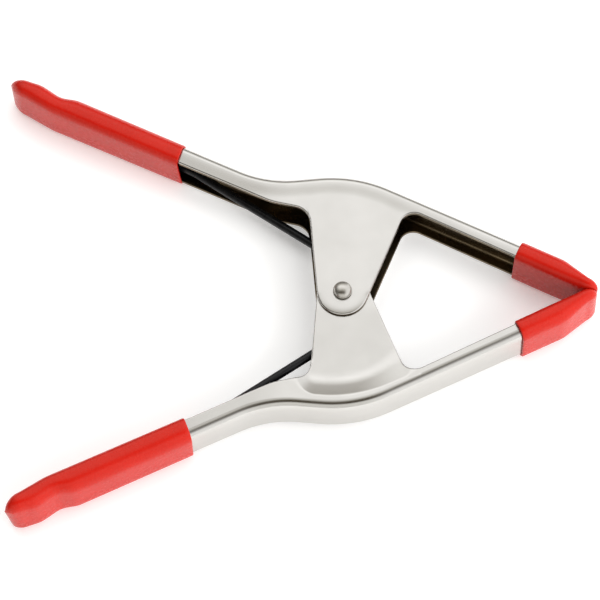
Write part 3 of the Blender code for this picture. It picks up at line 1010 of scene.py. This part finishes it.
def build_surround():
    """Soft light from above and behind, dim lower down, with a dark gap at the photographer."""
    world = bpy.data.worlds.new("studio")
    world.use_nodes = True
    tree = world.node_tree
    links = tree.links
    direction = tree.nodes.new("ShaderNodeTexCoord").outputs["Generated"]
    parts = tree.nodes.new("ShaderNodeSeparateXYZ")
    links.new(direction, parts.inputs["Vector"])
    front = tree.nodes.new("ShaderNodeMath")
    front.operation = "MULTIPLY"
    front.inputs[1].default_value = -1.0
    links.new(parts.outputs["Y"], front.inputs[0])
    lean = tree.nodes.new("ShaderNodeMath")
    lean.operation = "ARCTAN2"
    links.new(front.outputs["Value"], lean.inputs[0])
    links.new(parts.outputs["Z"], lean.inputs[1])
    share = tree.nodes.new("ShaderNodeMapRange")
    share.inputs["From Min"].default_value = -math.pi
    share.inputs["From Max"].default_value = math.pi
    links.new(lean.outputs["Value"], share.inputs["Value"])
    bands = tree.nodes.new("ShaderNodeValToRGB")
    bands.color_ramp.interpolation = "EASE"
    elements = bands.color_ramp.elements
    while len(elements) < len(SURROUND):
        elements.new(0.5)
    for element, (angle, colour) in zip(elements, SURROUND):
        element.position = (angle + 180.0) / 360.0
        element.color = (*colour, 1.0)
    links.new(share.outputs["Result"], bands.inputs["Fac"])
    seen = bands.outputs["Color"]
    for low, high, colour in SIDES:
        fade = tree.nodes.new("ShaderNodeMapRange")
        fade.interpolation_type = "SMOOTHSTEP"
        fade.inputs["From Min"].default_value = low
        fade.inputs["From Max"].default_value = high
        links.new(parts.outputs["X"], fade.inputs["Value"])
        mix = tree.nodes.new("ShaderNodeMix")
        mix.data_type = "RGBA"
        mix.inputs["B"].default_value = (*colour, 1.0)
        links.new(fade.outputs["Result"], mix.inputs["Factor"])
        links.new(seen, mix.inputs["A"])
        seen = mix.outputs["Result"]
    links.new(seen, tree.nodes["Background"].inputs["Color"])
    bpy.context.scene.world = world


# Name, place and size in metres, power in watts
LAMPS = [
    ("key", (1.7, -1.0, 1.2), (1.7, 1.3), 30.0),
    ("fill", (0.2, 0.5, 2.4), (2.2, 1.8), 18.0),
]


def build_studio():
    """Light from all round, with two soft lamps for shape."""
    build_surround()
    for lamp in LAMPS:
        softbox(*lamp)
    bpy.context.scene.view_settings.view_transform = "Standard"


CAMERA_TILT = math.radians(24.8)
CAMERA_DISTANCE = 3.126    # metres
CAMERA_LENS = 488.2
CAMERA_SENSOR = 36.0
CAMERA_REACH = 20.0        # metres
CAMERA_AIM = (-16.32, 0.26)  # from the rivet's axis
CAMERA_ROLL = math.radians(-0.25)


def build_camera():
    """Long lens above the clamp, tilted towards the lower arm's side."""
    data = bpy.data.cameras.new("camera")
    data.sensor_width = CAMERA_SENSOR
    data.lens = CAMERA_LENS
    data.clip_end = CAMERA_REACH
    camera = bpy.data.objects.new("camera", data)
    back = Vector((0.0, -math.sin(CAMERA_TILT), math.cos(CAMERA_TILT)))
    aim = PIVOT + Vector((CAMERA_AIM[0], CAMERA_AIM[1], 0.0)) * MM
    facing = (-back).to_track_quat("-Z", "Y").to_matrix().to_4x4()
    shift = Matrix.Translation(aim + back * CAMERA_DISTANCE - PIVOT)
    roll = Matrix.Rotation(CAMERA_ROLL, 4, back)
    camera.matrix_world = Matrix.Translation(PIVOT) @ roll @ shift @ facing
    bpy.context.scene.collection.objects.link(camera)
    bpy.context.scene.camera = camera


# ---------------------------------------------------------------- assembly


def attach(item, body, node):
    """The piece rides on a body and stands for its plain solid."""
    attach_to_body(item, body)
    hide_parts(node)


def main():
    plate = nickel_material("nickel_plate", (0.63, 0.615, 0.59), (0.6, 0.585, 0.56), 0.2, 0.26)
    # painted shade: a dark brown nickel stands in for the shade and dim reflections inside the
    # channels, on their cut edges and on the bush
    inside = nickel_material("nickel_inside_painted_shade", (0.25, 0.19, 0.115), (0.07, 0.055, 0.035), 0.22, 0.34)
    rivet_plate = nickel_material("rivet_plate", (0.62, 0.6, 0.56), (0.56, 0.54, 0.5), 0.26, 0.32)
    vinyl = vinyl_material()

    upper = build_arm("arm_upper", 1, False, (plate, inside))
    attach(upper, "upper_half", "upper_arm")
    lower = build_arm("arm_lower", -1, True, (plate, inside))
    attach(lower, "lower_half", "lower_arm")
    attach(build_rivet(rivet_plate), "upper_half", "pivot_rivet")
    # the bush takes the dark inside material: painted shade between the ears
    attach(build_bush(inside), "upper_half", "spring_bush")

    spring = build_spring(wire_material())
    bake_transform(spring)
    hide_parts("torsion_spring")

    on_jaw = jaw_stations(fine(PAD_MOUTH, JAW_STEEL_END) + [JAW_STEEL_END])
    for word, side, mouth in (("upper", 1, UPPER_GRIP_MOUTH), ("lower", -1, LOWER_GRIP_MOUTH)):
        on_handle = handle_stations([mouth] + list(reversed(fine(GRIP_SHOULDER, mouth))))
        grip = build_sleeve("grip_" + word, side, on_handle, HANDLE_HALF_WIDTH, vinyl)
        attach(grip, word + "_half", word + "_handle_grip")
        pad = build_sleeve("pad_" + word, side, on_jaw, JAW_HALF_WIDTH, vinyl)
        attach(pad, word + "_half", word + "_jaw_pad")

    build_floor()
    build_studio()
    build_camera()


main()
